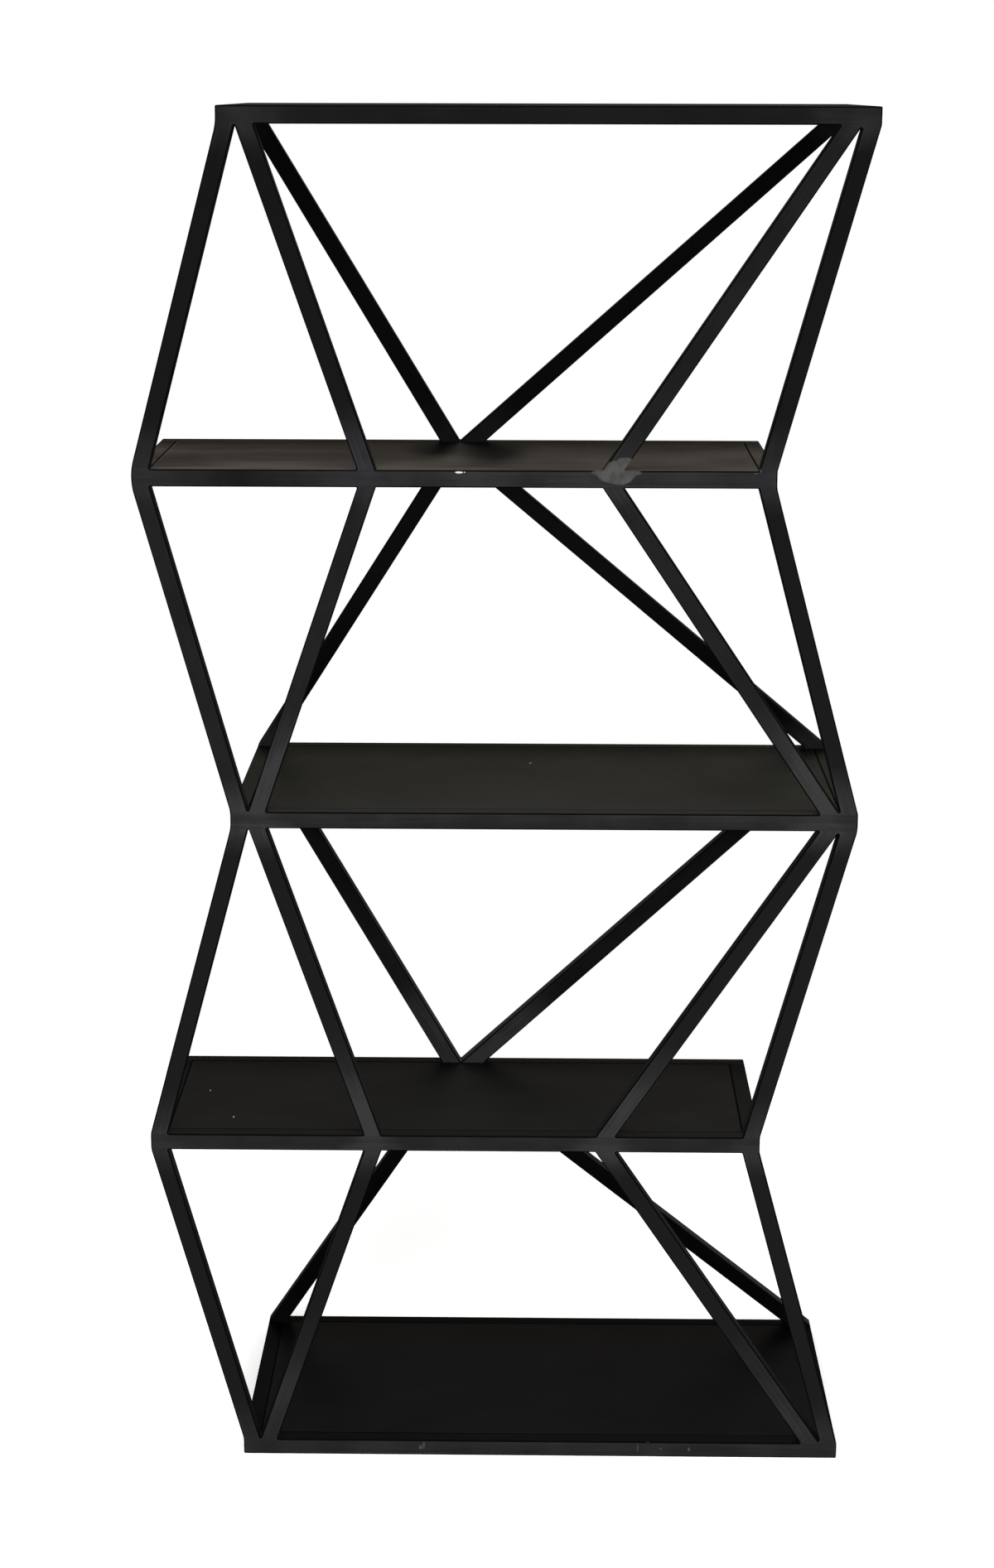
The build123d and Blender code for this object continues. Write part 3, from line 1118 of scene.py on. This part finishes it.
def tube_finish(name, refraction, top_light_share):
    """A finish of the tubes, and how strong the painted highlight from above is on it."""
    material, tree, where = new_finish(name)
    along = add_node(tree, "ShaderNodeUVMap", uv_map="along_tube").outputs[0]
    sanding_lines = noise(tree, along, 1.0, 5.0, stretch=(14.0, 1400.0, 1.0))
    broad_lines = around_zero(tree, noise(tree, along, 1.0, 4.0, stretch=(7.0, 240.0, 1.0)), 0.6)
    blotches = noise(tree, where, 13.0, 4.0)
    uneven = smooth_range(tree, plus(tree, blotches, broad_lines), 0.28, 0.72, 0.60, 1.35)
    bare = times(tree, mark(tree, "bare"), uneven)
    # the rubbed grey, times the painted light and shade of each face
    bare_and_lit = maths(tree, "MINIMUM", times(tree, bare, mark(tree, "lit_and_rubbed")), barest)
    colour, painted = with_marks(tree, where, steel_colour(tree, where, bare_and_lit, top_light_share))

    roughness = smooth_range(tree, sanding_lines, 0.3, 0.7, *satin)
    roughness = plus(tree, roughness, times(tree, bare_and_lit, rougher_bare))
    roughness = plus(tree, roughness, times(tree, painted, rougher_painted))
    grain = noise(tree, where, 900.0, 2.0)
    height = plus(tree, grain, times(tree, sanding_lines, bare_and_lit))
    surface(tree, colour, roughness, refraction, height, strength=0.2, depth=0.0001)
    print(f"{name}: {len(tree.nodes)} nodes")
    return material


# the last number is how strong the painted highlight from above is on each finish
waxed_tube = tube_finish("blackened_tube", waxed_mirrors, top_light_share=0.03)
dull_tube = tube_finish("blackened_tube_unwaxed", unwaxed_mirrors, top_light_share=0.10)
matt_edge = tube_finish("blackened_tube_edge", matt_mirrors, top_light_share=0.0)

# %% [markdown]
# ## Put the tubes in place
#
# Every tube becomes an object of its own and takes the place of its node in the
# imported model.  Weighted normals make the large flat faces decide how the light
# falls, and the small rounded faces only turn it round the edge, so a weld between two
# flat faces stays unseen.

# %% Place the tubes
def settle(piece):
    """Make the result of a piece's modifiers its own mesh, and drop the modifiers."""
    view = bpy.context.evaluated_depsgraph_get()
    mesh = bpy.data.meshes.new_from_object(piece.evaluated_get(view), depsgraph=view)
    piece.modifiers.clear()
    old = piece.data
    piece.data = mesh
    bpy.data.meshes.remove(old)
    mesh.name = piece.name


def put_in_place(name, form, node, finishes, sharp_from):
    """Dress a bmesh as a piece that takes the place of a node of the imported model."""
    piece = as_object(name, form)
    for finish in finishes:
        piece.data.materials.append(finish)
    piece.data.shade_smooth()
    piece.data.set_sharp_from_angle(angle=math.radians(sharp_from))
    weigh = piece.modifiers.new("weigh", "WEIGHTED_NORMAL")
    weigh.keep_sharp = True
    settle(piece)
    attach(piece, "root")
    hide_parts(node)


for name, form in tubes.items():
    finish = dull_tube if "_back_" in name and "strut" in name else waxed_tube
    put_in_place(f"{name}_tube", form, name, (finish, matt_edge), sharp_from=40)
print(len(tubes), "tubes in place")

# %% [markdown]
# ## The shelves
#
# A shelf is a sheet of thinner steel, let into its frame from above, so that a
# hairline shows all round.  Its edges were broken with a file, and old wax has filled
# the gap with black.  Just inside it a thin reddish brown line is painted lighter, a
# painted highlight along the seam.  Narrow rings of points along the edge carry both
# marks.  On the fourth shelf two dark streaks run forward from the feet of the struts
# behind, a painted reflection of those struts, and its front left corner is darker.
# The specks are bits of pale dust.

# %% Bronzed sheet
seam_highlight_tints = (
    # painted highlight just inside the seam, from the lowest shelf up
    (0.0080, 0.0075, 0.0074, 1.0),
    (0.0200, 0.0150, 0.0135, 1.0),
    (0.0400, 0.0290, 0.0240, 1.0),
    (0.1700, 0.1350, 0.1180, 1.0),
    (0.0500, 0.0400, 0.0340, 1.0),
)
# black of the old wax in the gap, and of the painted reflection of the struts on the fourth shelf
gap_and_reflection_black = (0.0010, 0.0010, 0.0010, 1.0)
foot_x = cut_edges("bay_4_back_left_strut", False)[1]
rail_y = rail_box(4, "back")[0].y
# painted reflection: the first two spots paint the dark mirror image of the struts behind the fourth
# shelf; the third darkens its front left corner
painted_dark_spots = (
    # (place, half sizes, how black)
    (Vector((foot_x - 0.038, rail_y - 0.060, top_of[4])), Vector((0.054, 0.180, 0.010)), 0.95),
    (Vector((foot_x + 0.052, rail_y - 0.095, top_of[4])), Vector((0.070, 0.240, 0.010)), 0.95),
    (Vector((-0.500, front_y + 0.055, top_of[4])), Vector((0.150, 0.085, 0.010)), 0.45),
)
sheet_mirrors = 1.45
sheet_satin = (0.36, 0.42)
speck = (0.65, 0.64, 0.60, 1.0)
specks = (
    (Vector((0.0457, 0.0903, top_of[3])), Vector((0.0014, 0.0048, 0.001))),
    (Vector((-0.4604, -0.0342, top_of[2])), Vector((0.0010, 0.0032, 0.001))),
    (Vector((-0.4112, -0.1506, top_of[2])), Vector((0.0010, 0.0032, 0.001))),
)

bronzed_sheet, tree, where = new_finish("bronzed_sheet")
colour = patina(tree, where)
short_streaks = noise(tree, where, 1.0, 3.0, stretch=(14.0, 60.0, 60.0))
patchy = smooth_range(tree, short_streaks, 0.40, 0.60, 0.25, 1.0)
# painted highlight just inside the seam, broken into short streaks
seam_highlight = times(tree, mark(tree, "seam_highlight"), patchy)
colour = mix_colours(tree, seam_highlight, colour, by_shelf(tree, where, seam_highlight_tints))
colour = mix_colours(tree, mark(tree, "grime"), colour, gap_and_reflection_black)
# painted reflection: dark streaks from the feet of the struts behind, and a darker front left corner
painted_dark = 0.0
for place, half_sizes, how_black in painted_dark_spots:
    spot = blob(tree, where, place, half_sizes, 0.0, core=0.3)
    painted_dark = maths(tree, "MAXIMUM", painted_dark, times(tree, spot, how_black))
colour = mix_colours(tree, painted_dark, colour, gap_and_reflection_black)
for spot in specks:
    colour = mix_colours(tree, blob(tree, where, *spot, 0.0), colour, speck)
clouds = noise(tree, where, 9.0, 4.0)
fine_lines = noise(tree, where, 1.0, 3.0, stretch=(12.0, 900.0, 900.0))
roughness = smooth_range(tree, clouds, 0.3, 0.7, *sheet_satin)
roughness = plus(tree, roughness, smooth_range(tree, fine_lines, 0.3, 0.7, -0.02, 0.02))
surface(tree, colour, roughness, sheet_mirrors, fine_lines, strength=0.08, depth=0.0001)
print(f"bronzed_sheet: {len(tree.nodes)} nodes")

# %% Lay the sheets in
filed_edge = 0.0005
grime_until = 0.0011  # from the edge of the sheet
# where the painted highlight inside the seam runs, and where it ends
seam_highlight_at = 0.0019
seam_highlight_ends = 0.0035
for shelf in shelves:
    low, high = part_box(f"shelf_{shelf}_sheet")
    outline = [Vector(p) for p in ((low.x, low.z), (high.x, low.z), (high.x, high.z), (low.x, high.z))]
    form = plate(outline, low.y, high.y)
    half_way = (low.z + high.z) / 2
    upper = [edge for edge in form.edges if all(point.co.z > half_way for point in edge.verts)]
    corners = [
        edge for edge in form.edges if abs(edge.verts[0].co.z - edge.verts[1].co.z) > same_place
    ]
    filed = upper + corners
    bmesh.ops.bevel(form, geom=filed, offset=filed_edge, segments=2, profile=0.5, affect="EDGES")
    top = [face for face in form.faces if face.normal.z > plate_facing]
    so_far = filed_edge
    for distance in (grime_until, seam_highlight_at, seam_highlight_ends):
        bmesh.ops.inset_region(form, faces=top, thickness=distance - so_far, use_even_offset=True)
        so_far = distance
    marks = ("grime", "seam_highlight", "towards_back")
    grime, seam_highlight, towards_back = [form.verts.layers.float.new(name) for name in marks]
    back_y = rail_box(shelf, "back")[1].y
    for point in form.verts:
        x, y = point.co.x, point.co.y
        inside = min(x - low.x, high.x - x, y - low.y, high.y - y)
        point[grime] = 1.0 if inside < grime_until + same_place else 0.0
        point[seam_highlight] = 1.0 if abs(inside - seam_highlight_at) < same_place else 0.0
        point[towards_back] = (y - front_y) / (back_y - front_y)
    name, node = f"shelf_{shelf}_steel_sheet", f"shelf_{shelf}_sheet"
    put_in_place(name, form, node, (bronzed_sheet,), sharp_from=50)
    print(f"shelf {shelf}: sheet {(high.x - low.x) * 1000:.1f} by {(high.y - low.y) * 1000:.1f} mm")

# %% [markdown]
# ## The stitch welds under the sheets
#
# Nothing holds a sheet from above, so it is welded from below: a short run of bead,
# a gap, and the next run, all along the inside corner between the sheet and its frame.
# This is a rule that repeats along a path, so Geometry Nodes makes it.  The path is
# four straight edges.  Resample Curve spaces the runs along them, each run is a row of
# overlapping drops as a welder leaves it, and a random size keeps them from being
# twins.  Realize Instances then turns them all into real mesh.

# %% Build the node tree for a row of stitch welds
bead_satin = (0.34, 0.52)
scale_black, scale_brown = (0.006, 0.006, 0.008, 1.0), (0.030, 0.026, 0.024, 1.0)

bead_black, tree, where = new_finish("weld_bead")
heat = noise(tree, where, 160.0, 3.0)
colour = mix_colours(tree, smooth_range(tree, heat, 0.35, 0.65), scale_black, scale_brown)
roughness = smooth_range(tree, noise(tree, where, 700.0, 2.0), 0.3, 0.7, *bead_satin)
surface(tree, colour, roughness, waxed_mirrors, heat, strength=0.3, depth=0.0002)

stitches = bpy.data.node_groups.new("stitch_welds", "GeometryNodeTree")
sizes = {"Pitch": 0.12, "Drop Radius": 0.0026, "Drop Spacing": 0.0032}
drops_in_a_run = 7
smallest, largest, seed = 0.85, 1.12, 4  # of the drops' random sizes
stitches.interface.new_socket(name="Path", in_out="INPUT", socket_type="NodeSocketGeometry")
socket_of = {}
for name, value in sizes.items():
    socket = stitches.interface.new_socket(name=name, in_out="INPUT", socket_type="NodeSocketFloat")
    socket.default_value = value
    socket_of[name] = socket.identifier
drops = stitches.interface.new_socket(name="Drops in a Run", in_out="INPUT", socket_type="NodeSocketInt")
drops.default_value = drops_in_a_run
stitches.interface.new_socket(name="Welds", in_out="OUTPUT", socket_type="NodeSocketGeometry")

given = add_node(stitches, "NodeGroupInput").outputs
path = add_node(stitches, "GeometryNodeMeshToCurve", {"Mesh": given["Path"]}).outputs["Curve"]
along_path = {"Curve": path, "Length": given["Pitch"]}
spaced = add_node(stitches, "GeometryNodeResampleCurve", along_path, mode="LENGTH")
tangent = add_node(stitches, "GeometryNodeInputTangent").outputs["Tangent"]
turned = add_node(stitches, "FunctionNodeAlignRotationToVector", {"Vector": tangent}, axis="X")
drop = add_node(stitches, "GeometryNodeMeshIcoSphere", {"Radius": given["Drop Radius"], "Subdivisions": 2})
step = add_node(stitches, "ShaderNodeCombineXYZ", {"X": given["Drop Spacing"]}).outputs[0]
in_a_row = {"Count": given["Drops in a Run"], "Offset": step}
row = add_node(stitches, "GeometryNodeMeshLine", in_a_row, mode="OFFSET")
random_sizes = {2: smallest, 3: largest, "Seed": seed}
any_size = add_node(stitches, "FunctionNodeRandomValue", random_sizes, data_type="FLOAT")
run = add_node(stitches, "GeometryNodeInstanceOnPoints", {
    "Points": row.outputs["Mesh"], "Instance": drop.outputs["Mesh"], "Scale": any_size.outputs[1],
})
runs = add_node(stitches, "GeometryNodeInstanceOnPoints", {
    "Points": spaced.outputs["Curve"], "Instance": run.outputs["Instances"], "Rotation": turned.outputs[0],
})
real = add_node(stitches, "GeometryNodeRealizeInstances", {"Geometry": runs.outputs["Instances"]})
coated = add_node(stitches, "GeometryNodeSetMaterial", {
    "Geometry": real.outputs["Geometry"], "Material": bead_black,
})
add_node(stitches, "NodeGroupOutput", {"Welds": coated.outputs["Geometry"]})
print("nodes in the tree of the stitch welds:", len(stitches.nodes))

# %% Weld every sheet to its frame
from_corner = 0.06  # of the first run
into_corner = 0.0008  # of the row's middle, off the sheet's edge and below its underside
for shelf in shelves:
    low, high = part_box(f"shelf_{shelf}_sheet")
    form = bmesh.new()
    left, right = low.x + into_corner, high.x - into_corner
    near, far = low.y + into_corner, high.y - into_corner
    level = low.z - into_corner
    first_x, last_x = left + from_corner, right - from_corner
    first_y, last_y = near + from_corner, far - from_corner
    for ends in (
        ((first_x, near), (last_x, near)), ((last_x, far), (first_x, far)),
        ((left, last_y), (left, first_y)), ((right, first_y), (right, last_y)),
    ):
        form.edges.new([form.verts.new((*end, level)) for end in ends])
    piece = as_object(f"shelf_{shelf}_stitch_welds", form)
    stitch = piece.modifiers.new("stitch", "NODES")
    stitch.node_group = stitches
    stitch[socket_of["Pitch"]] = sizes["Pitch"]
    settle(piece)
    piece.data.shade_smooth()
    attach(piece, "root")
    print(f"shelf {shelf}: {len(piece.data.polygons)} faces of weld bead")
